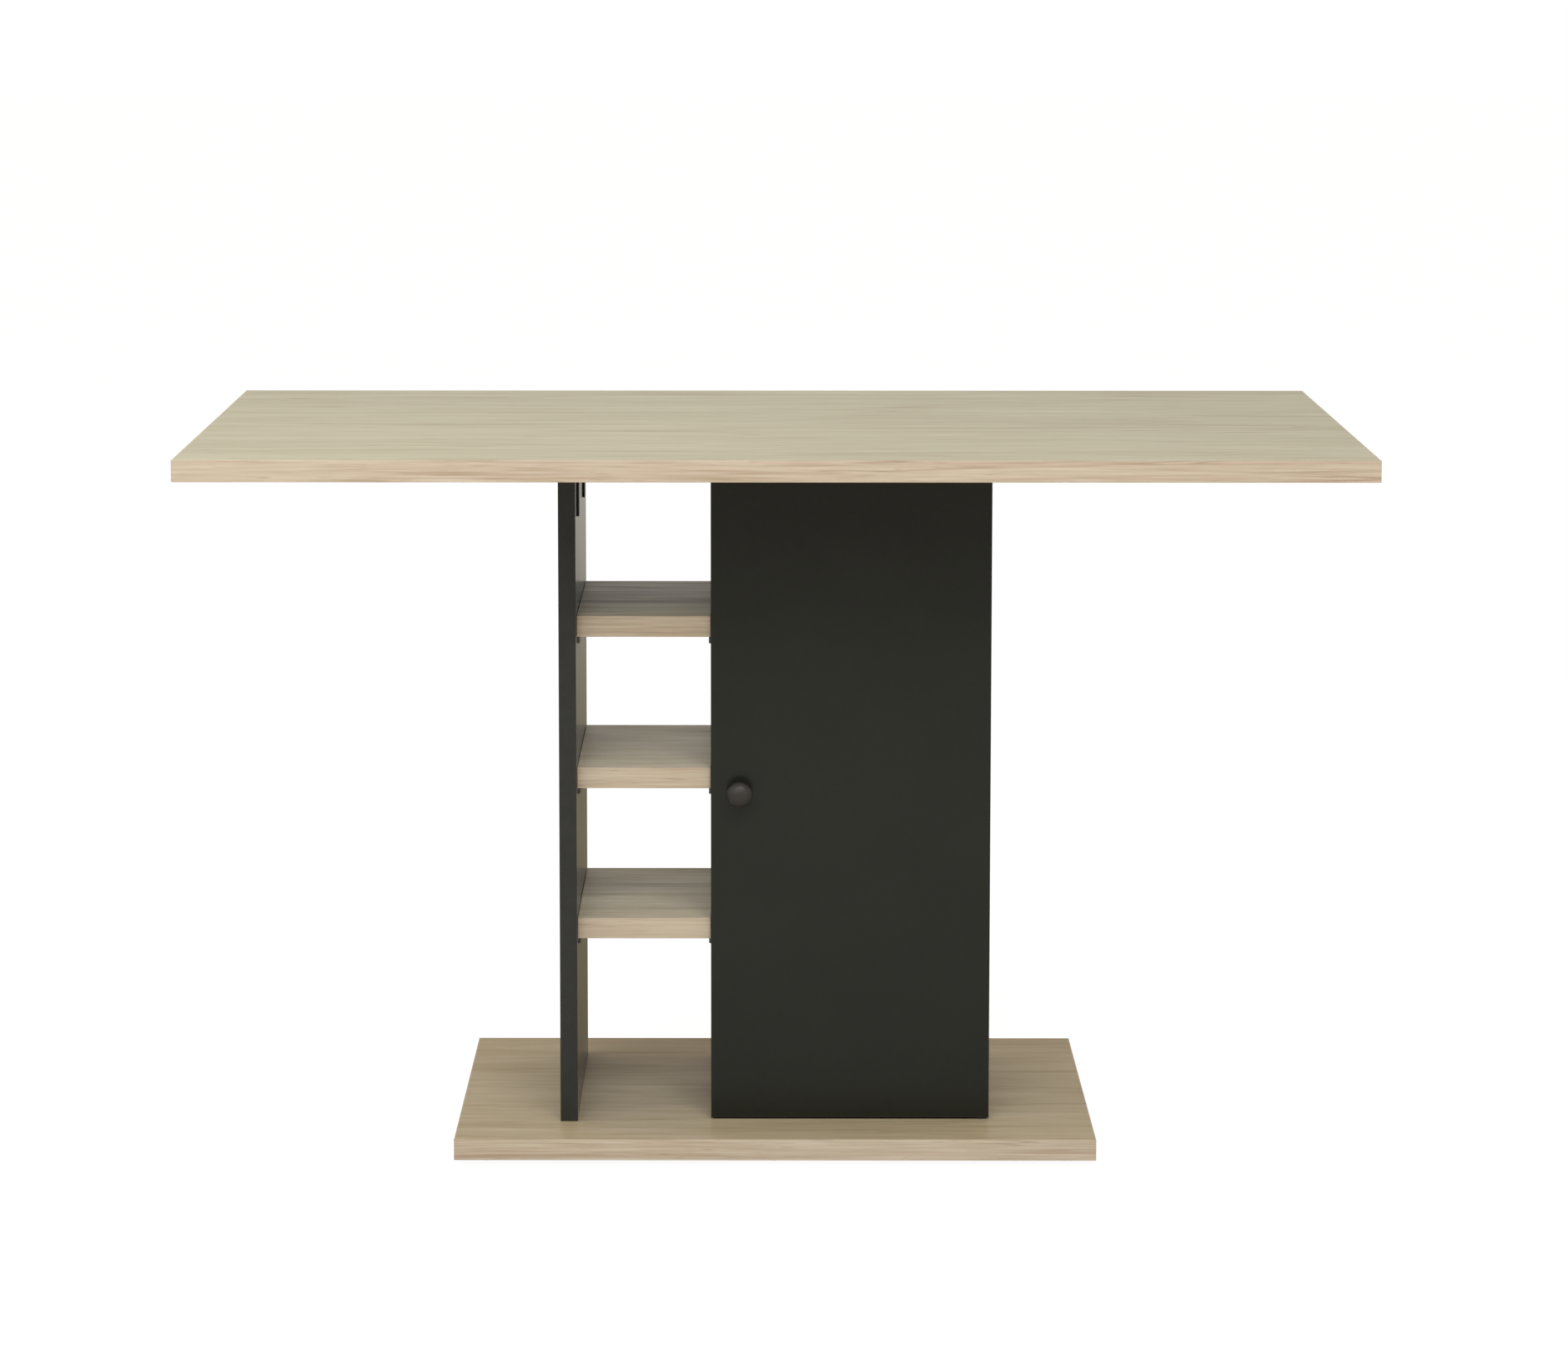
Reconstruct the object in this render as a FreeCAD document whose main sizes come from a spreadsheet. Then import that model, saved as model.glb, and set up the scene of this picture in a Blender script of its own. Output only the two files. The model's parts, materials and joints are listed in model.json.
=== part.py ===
"""Pedestal table with an open niche of three shelves and a narrow cabinet behind a plain door.

Millimetres. X runs to the right along the tabletop, Y runs from the front to the back, Z is up.
The origin lies on the floor under the middle of the tabletop.
"""

import FreeCAD, Part
import os
import re

import Sketcher

# Driving dimensions
SIZES = [
    # Tabletop and base board
    ("top_length", "1200"),
    ("top_width", "700"),
    ("top_thickness", "22"),
    ("base_length", "665"),
    ("base_width", "450"),
    ("base_thickness", "22"),
    ("oak_band", "1"),
    ("band_round", "0.5"),
    # Glides under the base board
    ("glide_height", "6"),
    ("glide_radius", "12"),
    ("glide_round", "3"),
    ("glide_inset", "32"),
    ("glide_nail_radius", "1.2"),
    ("glide_nail_length", "14"),
    # Column of upright panels
    ("column_width", "450"),
    ("panel_height", "700"),
    ("panel_thickness", "18"),
    ("left_panel_width", "300"),
    ("niche_width", "140"),
    ("dark_band", "0.8"),
    # Open shelves in the niche, with drops from the tabletop's underside to their own
    ("open_shelf_thickness", "22"),
    ("open_shelf_setback", "18"),
    ("shelf_end_gap", "0.5"),
    ("upper_shelf_drop", "188"),
    ("middle_shelf_drop", "348"),
    ("lower_shelf_drop", "508"),
    # Shelves behind the door, with drops of the same kind
    ("cabinet_shelf_thickness", "18"),
    ("cabinet_shelf_setback", "20"),
    ("upper_cabinet_drop", "252"),
    ("lower_cabinet_drop", "476"),
    # Shelf supports
    ("support_inset", "32"),
    ("support_width", "10"),
    ("support_height", "11"),
    ("support_leg", "2.4"),
    ("support_reach", "9"),
    ("support_flange", "1.6"),
    ("support_round", "1.2"),
    ("support_peg_radius", "2.5"),
    ("support_peg_length", "8"),
    # Door
    ("door_thickness", "18"),
    ("door_setback", "10"),
    ("door_clearance", "2"),
    ("swing_clearance", "1"),
    # Pivots in the door's top and bottom edges
    ("pivot_inset", "8"),
    ("pivot_radius", "2.5"),
    ("pivot_in_door", "24"),
    ("pivot_in_socket", "8"),
    ("pivot_tip_round", "0.8"),
    ("running_fit", "0.05"),
    ("socket_radius", "5"),
    ("socket_depth", "11"),
    ("collar_radius", "7"),
    ("collar_play", "0.3"),
    # Knob
    ("knob_radius", "13.5"),
    ("knob_foot_radius", "8.5"),
    ("knob_foot_thickness", "2.5"),
    ("knob_neck_radius", "6"),
    ("knob_neck_height", "10"),
    ("knob_rim_height", "18"),
    ("knob_rim_thickness", "2.5"),
    ("knob_rim_round", "0.6"),
    ("knob_edge_round", "4"),
    ("knob_head_height", "8"),
    ("knob_shoulder_radius", "9"),
    ("knob_shoulder_drop", "1.5"),
    ("knob_shoulder_round", "11"),
    ("knob_crown_radius", "4"),
    ("knob_crown_round", "16"),
    ("knob_inset", "30"),
    ("knob_screw_bite", "10"),
    ("knob_bore_spare", "2"),
    # Screws
    ("screw_radius", "2"),
    ("screw_head_radius", "4"),
    ("screw_head_height", "2.2"),
    ("screw_head_round", "1.4"),
    ("screw_tip", "3"),
    ("screw_reach", "13"),
    ("sunk_head_depth", "1.4"),
    ("sunk_seat_radius", "2.6"),
    ("drill_clearance", "0.05"),
    ("drill_overrun", "1"),
    # Angle brackets under the tabletop
    ("bracket_leg", "65"),
    ("bracket_width", "20"),
    ("bracket_thickness", "2.2"),
    ("bracket_end_flat", "1"),
    ("bracket_bend", "2"),
    ("bracket_front_inset", "48"),
    ("bracket_back_inset", "89"),
    ("bracket_near_hole", "24"),
    ("bracket_end_hole", "13"),
    # Cam locks, their bolts and the dowels
    ("cam_radius", "7.5"),
    ("cam_depth", "13.5"),
    ("cam_rise", "24"),
    ("cam_inset", "65"),
    ("cam_slot_width", "1.6"),
    ("cam_slot_length", "9"),
    ("cam_slot_depth", "2"),
    ("bolt_thread_radius", "2.5"),
    ("bolt_thread_length", "11"),
    ("bolt_neck_radius", "1.8"),
    ("bolt_head_radius", "3"),
    ("bolt_head_length", "3.5"),
    ("bolt_channel_gap", "0.6"),
    ("dowel_radius", "4"),
    ("dowel_length", "30"),
    ("dowel_in_face", "12"),
    ("dowel_chamfer", "1"),
    ("dowel_inset", "30"),
    ("back_cam_inset", "90"),
    ("back_dowel_inset", "200"),
    # Magnetic catch at the door's free edge and the strike plate that it holds
    ("catch_bracket_gap", "13"),
    ("catch_block", "22"),
    ("catch_ear", "3"),
    ("catch_ear_length", "11"),
    ("catch_height", "13"),
    ("catch_depth", "16"),
    ("catch_lip", "1"),
    ("catch_air", "0.3"),
    ("magnet_length", "16"),
    ("magnet_height", "6"),
    ("magnet_depth", "9"),
    ("strike_radius", "9"),
    ("strike_thickness", "1.5"),
    ("strike_spike_radius", "1.8"),
    ("strike_spike_length", "10"),
]

FULL_TURN = 360
NEAR = 0.001

# A sketch line's two ends, and the sketch's own origin and axes
START = 1
END = 2
ORIGIN = -1
HORIZONTAL = -1
VERTICAL = -2

doc = FreeCAD.newDocument("TableWithShelf")
sheet = doc.addObject("Spreadsheet::Sheet", "Sizes")
for row, (alias, number) in enumerate(SIZES, start=1):
    sheet.set(f"A{row}", alias)
    sheet.set(f"B{row}", number)
    sheet.setAlias(f"B{row}", alias)
doc.recompute()
ALIASES = {alias for alias, number in SIZES}

# Levels and faces that several pieces share, as sums of the driving dimensions
BASE_TOP = "(glide_height + base_thickness)"
PANEL_FOOT = BASE_TOP
TOP_UNDERSIDE = f"({BASE_TOP} + panel_height)"
COLUMN_LEFT = "(-column_width/2)"
COLUMN_RIGHT = "(column_width/2)"
NICHE_LEFT = f"({COLUMN_LEFT} + panel_thickness)"
NICHE_RIGHT = f"({NICHE_LEFT} + niche_width)"
CABINET_LEFT = f"({NICHE_RIGHT} + panel_thickness)"
CABINET_RIGHT = f"({COLUMN_RIGHT} - panel_thickness)"
COLUMN_FRONT = "(-left_panel_width/2)"
COLUMN_BACK = "(left_panel_width/2)"
DOOR_FRONT = f"({COLUMN_FRONT} + door_setback)"
DOOR_BACK = f"({DOOR_FRONT} + door_thickness)"
CORNER_SWING = "sqrt(pivot_inset^2 + (door_thickness/2)^2)"
DOOR_GAP = f"({CORNER_SWING} - door_thickness/2 + swing_clearance)"
CABINET_FRONT = f"({DOOR_BACK} + {DOOR_GAP})"
BACK_PANEL_FRONT = f"({COLUMN_BACK} - panel_thickness)"
DOOR_FOOT = f"({BASE_TOP} + door_clearance)"
DOOR_HEAD = f"({TOP_UNDERSIDE} - door_clearance)"
PIVOT_X = f"({COLUMN_RIGHT} - pivot_inset)"
PIVOT_Y = f"({DOOR_FRONT} + door_thickness/2)"
KNOB_X = f"({NICHE_RIGHT} + knob_inset)"
KNOB_Z = f"(({DOOR_FOOT} + {DOOR_HEAD})/2)"
CATCH_LENGTH = "(catch_block + 2*catch_ear_length)"
CATCH_Z = f"({TOP_UNDERSIDE} - bracket_leg - catch_bracket_gap - {CATCH_LENGTH}/2)"
CATCH_FRONT = f"({DOOR_BACK} + strike_thickness + catch_air)"
CATCH_MIDDLE = f"({CABINET_LEFT} + catch_ear + (catch_height - catch_ear)/2)"
LEFT_MIDDLE = f"({COLUMN_LEFT} + panel_thickness/2)"
CENTRE_MIDDLE = f"({NICHE_RIGHT} + panel_thickness/2)"
RIGHT_MIDDLE = f"({CABINET_RIGHT} + panel_thickness/2)"
BACK_MIDDLE = f"({BACK_PANEL_FRONT} + panel_thickness/2)"

# Holes, each a little wider than what goes in
SCREW_HOLE = "(screw_radius + drill_clearance)"
CAM_HOLE = "(cam_radius + drill_clearance)"
CAM_HOLE_DEPTH = "(cam_depth + drill_clearance)"
BOLT_CHANNEL = "(bolt_head_radius + bolt_channel_gap)"
BOLT_CHANNEL_DEPTH = "(cam_rise + bolt_head_length/2 + drill_clearance)"
THREAD_HOLE = "(bolt_thread_radius + drill_clearance)"
THREAD_HOLE_DEPTH = "(bolt_thread_length + drill_clearance)"
DOWEL_HOLE = "(dowel_radius + drill_clearance)"
DOWEL_FACE_DEPTH = "(dowel_in_face + drill_overrun)"
DOWEL_END_DEPTH = "(dowel_length - dowel_in_face + drill_overrun)"
PEG_HOLE = "(support_peg_radius + drill_clearance)"
PEG_HOLE_DEPTH = "(support_peg_length + drill_clearance)"
PIVOT_HOLE = "(pivot_radius + drill_clearance)"
PIVOT_HOLE_DEPTH = "(pivot_in_door + drill_clearance)"
SOCKET_HOLE = "(socket_radius + drill_clearance)"
SOCKET_HOLE_DEPTH = "(socket_depth + drill_clearance)"
SPIKE_HOLE = "(strike_spike_radius + drill_clearance)"
SPIKE_HOLE_DEPTH = "(strike_spike_length + drill_clearance)"
NAIL_HOLE = "(glide_nail_radius + drill_clearance)"
NAIL_HOLE_DEPTH = "(glide_nail_length + drill_clearance)"

# Directions of axes
X = FreeCAD.Vector(1, 0, 0)
Y = FreeCAD.Vector(0, 1, 0)
Z = FreeCAD.Vector(0, 0, 1)


def formula(text):
    """A sum of names as a sum of the sheet's cells."""
    return re.sub(r"[a-z_]+", lambda m: f"Sizes.{m[0]}" if m[0] in ALIASES else m[0], text)


def amount(text):
    """The present value of a sum of names."""
    return float(sheet.evalExpression(formula(text)))


def toward(z_way, x_way=None):
    """The turn that takes a piece's own Z, and its own X where given, to these directions."""
    if x_way is None:
        return FreeCAD.Rotation(Z, z_way)
    return FreeCAD.Rotation(x_way, z_way.cross(x_way), z_way, "ZXY")


def place(thing, spot, turn=None):
    """Stands a piece at a spot given as three sums."""
    if turn is not None:
        thing.Placement = FreeCAD.Placement(FreeCAD.Vector(), turn)
    for axis, text in zip("xyz", spot):
        thing.setExpression(f"Placement.Base.{axis}", formula(text))
    return thing


def box(name, corner, size):
    """A block from its least corner and its three sizes."""
    block = doc.addObject("Part::Box", name)
    for side, text in zip(("Length", "Width", "Height"), size):
        block.setExpression(side, formula(text))
    return place(block, corner)


def rod(name, start, way, radius, length):
    """A round bar, or the drill for its hole, from its start along a direction."""
    bar = doc.addObject("Part::Cylinder", name)
    bar.setExpression("Radius", formula(radius))
    bar.setExpression("Height", formula(length))
    return place(bar, start, toward(way))


def group(name, members):
    """Like pieces kept together under one name."""
    bundle = doc.addObject("Part::Compound", name)
    bundle.Links = members
    return bundle


def cut(name, blank, tools):
    """A piece less its holes and recesses."""
    piece = doc.addObject("Part::Cut", name)
    piece.Base = blank
    piece.Tool = tools[0] if len(tools) == 1 else group(f"{name}_tools", tools)
    return piece


def copies(name, master, spots):
    """One piece repeated at several spots, each a tuple of three sums and a turn."""
    links = []
    for number, (spot, turn) in enumerate(spots, start=1):
        link = doc.addObject("App::Link", f"{name}_{number}")
        link.LinkedObject = master
        links.append(place(link, spot, turn))
    return group(name, links)


def origin_plane(body, role):
    """One of a body's own planes."""
    return next(plane for plane in body.Origin.OriginFeatures if plane.Role == role)


def hold(sketch, line, kind, axis, text, distance):
    """Ties one coordinate of a line's start to its sum, measured from the sketch's origin."""
    if text == "0":
        sketch.addConstraint(Sketcher.Constraint("PointOnObject", line, START, axis))
    elif distance > 0:
        index = sketch.addConstraint(Sketcher.Constraint(kind, ORIGIN, START, line, START, distance))
        sketch.setExpression(f"Constraints[{index}]", formula(text))
    else:
        index = sketch.addConstraint(Sketcher.Constraint(kind, line, START, ORIGIN, START, -distance))
        sketch.setExpression(f"Constraints[{index}]", formula(f"-({text})"))


def outline(body, role, points):
    """A closed sketch of straight lines through points given as pairs of sums."""
    sketch = body.newObject("Sketcher::SketchObject", f"{body.Name}_outline")
    sketch.AttachmentSupport = [(origin_plane(body, role), "")]
    sketch.MapMode = "FlatFace"
    spots = [FreeCAD.Vector(amount(across), amount(up), 0) for across, up in points]
    for here, there in zip(spots, spots[1:] + spots[:1]):
        sketch.addGeometry(Part.LineSegment(here, there))
    for line in range(len(points)):
        following = (line + 1) % len(points)
        sketch.addConstraint(Sketcher.Constraint("Coincident", line, END, following, START))
    for line, ((across, up), spot) in enumerate(zip(points, spots)):
        hold(sketch, line, "DistanceX", VERTICAL, across, spot.x)
        hold(sketch, line, "DistanceY", HORIZONTAL, up, spot.y)
    return sketch


def turned(name, points):
    """A body of revolution about its own Z, from pairs of radius and height."""
    body = doc.addObject("PartDesign::Body", name)
    sketch = outline(body, "XZ_Plane", points)
    solid = body.newObject("PartDesign::Revolution", f"{name}_turning")
    solid.Profile = sketch
    solid.ReferenceAxis = (sketch, ["V_Axis"])
    solid.Angle = FULL_TURN
    doc.recompute()
    return body


def extruded(name, role, points, depth):
    """A body of one outline, drawn out evenly to both sides of its plane."""
    body = doc.addObject("PartDesign::Body", name)
    sketch = outline(body, role, points)
    solid = body.newObject("PartDesign::Pad", f"{name}_pad")
    solid.Profile = sketch
    solid.SideType = "Symmetric"
    solid.setExpression("Length", formula(depth))
    doc.recompute()
    return body


def round_edges(body, radius, chosen):
    """Rounds the edges of a body that a test chooses."""
    last = body.Tip
    names = [f"Edge{i}" for i, edge in enumerate(last.Shape.Edges, start=1) if chosen(edge)]
    fillet = body.newObject("PartDesign::Fillet", f"{body.Name}_round_{len(body.Group)}")
    fillet.Base = (last, names)
    fillet.setExpression("Radius", formula(radius))
    doc.recompute()
    return body


def circle_at(radius, height):
    """Chooses the circular edges of one radius at one height of a turned body."""
    def chosen(edge):
        if not isinstance(edge.Curve, Part.Circle):
            return False
        same_radius = abs(edge.Curve.Radius - amount(radius)) < NEAR
        return same_radius and abs(edge.Curve.Center.z - amount(height)) < NEAR
    return chosen


def drill(spot, way, radius, depth):
    """The tool for a hole that starts at a face and goes in along a direction."""
    start = [f"({text} - ({int(part)})*drill_overrun)" for text, part in zip(spot, way)]
    return rod("drill", start, way, radius, f"({depth} + drill_overrun)")


def near_ends(low, high, inset):
    """Two places in a run, an inset from each of its ends."""
    return f"({low} + {inset})", f"({high} - {inset})"


def band(name, corner, size, outer):
    """A strip of edging, with the two long edges of its outer face rounded."""
    body = doc.addObject("PartDesign::Body", name)
    strip = body.newObject("PartDesign::AdditiveBox", f"{name}_strip")
    for side, text in zip(("Length", "Width", "Height"), size):
        strip.setExpression(side, formula(text))
    place(body, corner)
    doc.recompute()
    sizes = [amount(text) for text in size]
    run = sizes.index(max(sizes))
    across = next(axis for axis in range(3) if outer[axis] != 0)
    face = sizes[across] if outer[across] > 0 else 0

    def chosen(edge):
        ends = [vertex.Point for vertex in edge.Vertexes]
        on_face = all(abs(end[across] - face) < NEAR for end in ends)
        return on_face and abs(ends[0][run] - ends[1][run]) > NEAR

    return round_edges(body, "band_round", chosen)


def bands_round(name, corner, size, thickness, sides):
    """The edging strips of a board, given by the banded board's corner and size."""
    x, y, z = corner
    length, width, height = size
    far_x = f"({x} + {length} - {thickness})"
    far_y = f"({y} + {width} - {thickness})"
    near_y = f"({y} + {thickness})"
    along = (length, thickness, height)
    across = (thickness, f"({width} - 2*{thickness})", height)
    strips = {
        "front": (corner, along, -Y),
        "back": ((x, far_y, z), along, Y),
        "left": ((x, near_y, z), across, -X),
        "right": ((far_x, near_y, z), across, X),
    }
    return group(name, [band(f"{name}_{side}", *strips[side]) for side in sides])


nodes = []


def keep(piece):
    """Marks an object as a finished piece, whose label names its file."""
    nodes.append(piece)
    return piece


# Masters of the fasteners, each about its own Z with its seat at zero

screw = turned("screw", [
    ("0", "-screw_reach"),
    ("screw_radius", "-(screw_reach - screw_tip)"),
    ("screw_radius", "0"),
    ("screw_head_radius", "0"),
    ("screw_head_radius", "screw_head_height"),
    ("0", "screw_head_height"),
])
round_edges(screw, "screw_head_round", circle_at("screw_head_radius", "screw_head_height"))

dowel = turned("dowel", [
    ("0", "0"),
    ("dowel_radius - dowel_chamfer", "0"),
    ("dowel_radius", "dowel_chamfer"),
    ("dowel_radius", "dowel_length - dowel_chamfer"),
    ("dowel_radius - dowel_chamfer", "dowel_length"),
    ("0", "dowel_length"),
])

cam_bolt = turned("cam_bolt", [
    ("0", "-bolt_thread_length"),
    ("bolt_thread_radius", "-bolt_thread_length"),
    ("bolt_thread_radius", "0"),
    ("bolt_neck_radius", "0"),
    ("bolt_neck_radius", "cam_rise - bolt_head_length/2"),
    ("bolt_head_radius", "cam_rise - bolt_head_length/2"),
    ("bolt_head_radius", "cam_rise + bolt_head_length/2"),
    ("0", "cam_rise + bolt_head_length/2"),
])



def cam_slot(name, length, width):
    """One arm of the cross in a cam lock's face."""
    corner = (f"(-{length}/2)", f"(-{width}/2)", "(-cam_slot_depth)")
    return box(name, corner, (length, width, "(2*cam_slot_depth)"))


cam_disc = rod("cam_disc", ("0", "0", "-cam_depth"), Z, "cam_radius", "cam_depth")
cam_bore = rod(
    "cam_bore",
    ("-(bolt_head_length/2 + drill_overrun)", "0", "-panel_thickness/2"),
    X,
    BOLT_CHANNEL,
    "(cam_radius + bolt_head_length/2 + 2*drill_overrun)",
)
cam_slots = [
    cam_slot("cam_slot_along", "cam_slot_length", "cam_slot_width"),
    cam_slot("cam_slot_across", "cam_slot_width", "cam_slot_length"),
]
cam_lock = cut("cam_lock", cam_disc, [cam_bore] + cam_slots)

# Cam locks, bolts and dowels that stand the three panels on the base board

PANEL_FEET = [
    ("left", LEFT_MIDDLE, NICHE_LEFT, X, COLUMN_FRONT),
    ("centre", CENTRE_MIDDLE, CABINET_LEFT, X, CABINET_FRONT),
    ("right", RIGHT_MIDDLE, CABINET_RIGHT, -X, CABINET_FRONT),
]
CAM_Z = f"({PANEL_FOOT} + cam_rise)"
panel_drills = {"left": [], "centre": [], "right": [], "back": []}
base_drills = []
cam_spots = []
bolt_spots = []
dowel_spots = []
for side, middle, face, way, front in PANEL_FEET:
    for y in near_ends(front, COLUMN_BACK, "cam_inset"):
        foot = (middle, y, BASE_TOP)
        cam_spots.append(((face, y, CAM_Z), toward(way, -Z)))
        bolt_spots.append((foot, toward(Z)))
        panel_drills[side].append(drill((face, y, CAM_Z), -way, CAM_HOLE, CAM_HOLE_DEPTH))
        panel_drills[side].append(drill(foot, Z, BOLT_CHANNEL, BOLT_CHANNEL_DEPTH))
        base_drills.append(drill(foot, -Z, THREAD_HOLE, THREAD_HOLE_DEPTH))
    for y in near_ends(front, COLUMN_BACK, "dowel_inset"):
        foot = (middle, y, BASE_TOP)
        dowel_spots.append(((middle, y, f"({BASE_TOP} - dowel_in_face)"), toward(Z)))
        panel_drills[side].append(drill(foot, Z, DOWEL_HOLE, DOWEL_END_DEPTH))
        base_drills.append(drill(foot, -Z, DOWEL_HOLE, DOWEL_FACE_DEPTH))
keep(copies("base_cam_locks", cam_lock, cam_spots))
keep(copies("base_cam_bolts", cam_bolt, bolt_spots))
keep(copies("base_dowels", dowel, dowel_spots))

# Cam locks, bolts and dowels that hold the back panel between the centre and right panels

cam_spots = []
bolt_spots = []
dowel_spots = []
for side, face, way in (("centre", CABINET_LEFT, X), ("right", CABINET_RIGHT, -X)):
    inward = int(way.x)
    for z in near_ends(PANEL_FOOT, TOP_UNDERSIDE, "back_cam_inset"):
        wall = (face, BACK_MIDDLE, z)
        pocket = (f"({face} + ({inward})*cam_rise)", BACK_PANEL_FRONT, z)
        cam_spots.append((pocket, toward(-Y, -way)))
        bolt_spots.append((wall, toward(way)))
        panel_drills["back"].append(drill(pocket, Y, CAM_HOLE, CAM_HOLE_DEPTH))
        panel_drills["back"].append(drill(wall, way, BOLT_CHANNEL, BOLT_CHANNEL_DEPTH))
        panel_drills[side].append(drill(wall, -way, THREAD_HOLE, THREAD_HOLE_DEPTH))
    for z in near_ends(PANEL_FOOT, TOP_UNDERSIDE, "back_dowel_inset"):
        wall = (face, BACK_MIDDLE, z)
        dowel_spots.append(((f"({face} - ({inward})*dowel_in_face)", BACK_MIDDLE, z), toward(way)))
        panel_drills["back"].append(drill(wall, way, DOWEL_HOLE, DOWEL_END_DEPTH))
        panel_drills[side].append(drill(wall, -way, DOWEL_HOLE, DOWEL_FACE_DEPTH))
keep(copies("back_cam_locks", cam_lock, cam_spots))
keep(copies("back_cam_bolts", cam_bolt, bolt_spots))
keep(copies("back_dowels", dowel, dowel_spots))

# Angle brackets that hold the tabletop on the panels, and their screws

bracket_blank = extruded("bracket_blank", "XZ_Plane", [
    ("0", "0"),
    ("bracket_leg", "0"),
    ("bracket_leg", "-bracket_thickness"),
    ("bracket_thickness", "-bracket_thickness"),
    ("bracket_thickness", "-bracket_leg"),
    ("0", "-bracket_leg"),
], "bracket_width")


def along_width_at(x, z):
    """Chooses the edge that runs across a bent piece's width at one place of its outline."""
    def chosen(edge):
        ends = [vertex.Point for vertex in edge.Vertexes]
        return all(abs(end.x - amount(x)) < NEAR and abs(end.z - amount(z)) < NEAR for end in ends)
    return chosen


def leg_end(edge):
    """Chooses the bracket's edges through its thickness, at the two corners of each leg's end."""
    ends = [vertex.Point for vertex in edge.Vertexes]
    low = all(abs(end.z + amount("bracket_leg")) < NEAR for end in ends)
    far = all(abs(end.x - amount("bracket_leg")) < NEAR for end in ends)
    return (low or far) and abs(ends[0].y - ends[1].y) < NEAR


BRACKET_HOLES = ("bracket_near_hole", "(bracket_leg - bracket_end_hole)")
BRACKET_HOLE_DEPTH = "(bracket_thickness + drill_overrun)"
round_edges(bracket_blank, "(bracket_width/2 - bracket_end_flat)", leg_end)
round_edges(bracket_blank, "bracket_bend", along_width_at("bracket_thickness", "-bracket_thickness"))
round_edges(bracket_blank, "(bracket_bend + bracket_thickness)", along_width_at("0", "0"))
SINK_FLOOR = "(sunk_seat_radius + drill_clearance)"
SINK_MOUTH = "(screw_head_radius + drill_clearance)"
sink = turned("sink", [
    ("0", "-sunk_head_depth"),
    (SINK_FLOOR, "-sunk_head_depth"),
    (SINK_MOUTH, "0"),
    (SINK_MOUTH, "drill_overrun"),
    ("0", "drill_overrun"),
])
bracket_drills = []
sink_spots = []
for hole in BRACKET_HOLES:
    bracket_drills.append(drill(("0", "0", f"(-{hole})"), X, SCREW_HOLE, BRACKET_HOLE_DEPTH))
    bracket_drills.append(drill((hole, "0", "0"), -Z, SCREW_HOLE, BRACKET_HOLE_DEPTH))
    sink_spots.append((("bracket_thickness", "0", f"(-{hole})"), toward(X)))
    sink_spots.append(((hole, "0", "-bracket_thickness"), toward(-Z)))
bracket_drills.append(copies("bracket_sinks", sink, sink_spots))
bracket = cut("bracket", bracket_blank, bracket_drills)

sunk_screw = turned("sunk_screw", [
    ("0", "-screw_reach"),
    ("screw_radius", "-(screw_reach - screw_tip)"),
    ("screw_radius", "-sunk_head_depth"),
    ("sunk_seat_radius", "-sunk_head_depth"),
    ("screw_head_radius", "0"),
    ("0", "0"),
])

BRACKET_WALLS = [
    ("left", NICHE_LEFT, X),
    ("centre", CABINET_LEFT, X),
    ("right", CABINET_RIGHT, -X),
]
BRACKET_PLACES = (
    f"({COLUMN_FRONT} + bracket_front_inset)",
    f"({COLUMN_BACK} - bracket_back_inset)",
)
BRACKET_UNDERSIDE = f"({TOP_UNDERSIDE} - bracket_thickness)"
top_drills = []
bracket_spots = []
wall_screw_spots = []
roof_screw_spots = []
for side, face, way in BRACKET_WALLS:
    inward = int(way.x)
    seat = f"({face} + ({inward})*bracket_thickness)"
    for y in BRACKET_PLACES:
        bracket_spots.append(((face, y, TOP_UNDERSIDE), toward(Z, way)))
        for hole in BRACKET_HOLES:
            wall_z = f"({TOP_UNDERSIDE} - {hole})"
            roof_x = f"({face} + ({inward})*{hole})"
            wall_screw_spots.append(((seat, y, wall_z), toward(way)))
            roof_screw_spots.append(((roof_x, y, BRACKET_UNDERSIDE), toward(-Z)))
            panel_drills[side].append(drill((face, y, wall_z), -way, SCREW_HOLE, "screw_reach"))
            top_drills.append(drill((roof_x, y, TOP_UNDERSIDE), Z, SCREW_HOLE, "screw_reach"))
keep(copies("top_brackets", bracket, bracket_spots))
keep(copies("bracket_panel_screws", sunk_screw, wall_screw_spots))
keep(copies("bracket_top_screws", sunk_screw, roof_screw_spots))

# Shelf supports: a flange under the shelf, a leg on the panel and a peg in the panel

support_blank = extruded("support_blank", "XZ_Plane", [
    ("0", "0"),
    ("support_reach", "0"),
    ("support_reach", "-support_flange"),
    ("support_leg", "-support_flange"),
    ("support_leg", "-support_height"),
    ("0", "-support_height"),
], "support_width")
round_edges(support_blank, "support_round", along_width_at("support_leg", "-support_flange"))
round_edges(support_blank, "support_round", along_width_at("support_leg", "-support_height"))
support_peg = rod(
    "support_peg",
    ("support_leg/2", "0", "-support_height/2"),
    -X,
    "support_peg_radius",
    "(support_peg_length + support_leg/2)",
)
support = doc.addObject("Part::Fuse", "support")
support.Base = support_blank
support.Tool = support_peg

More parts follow.
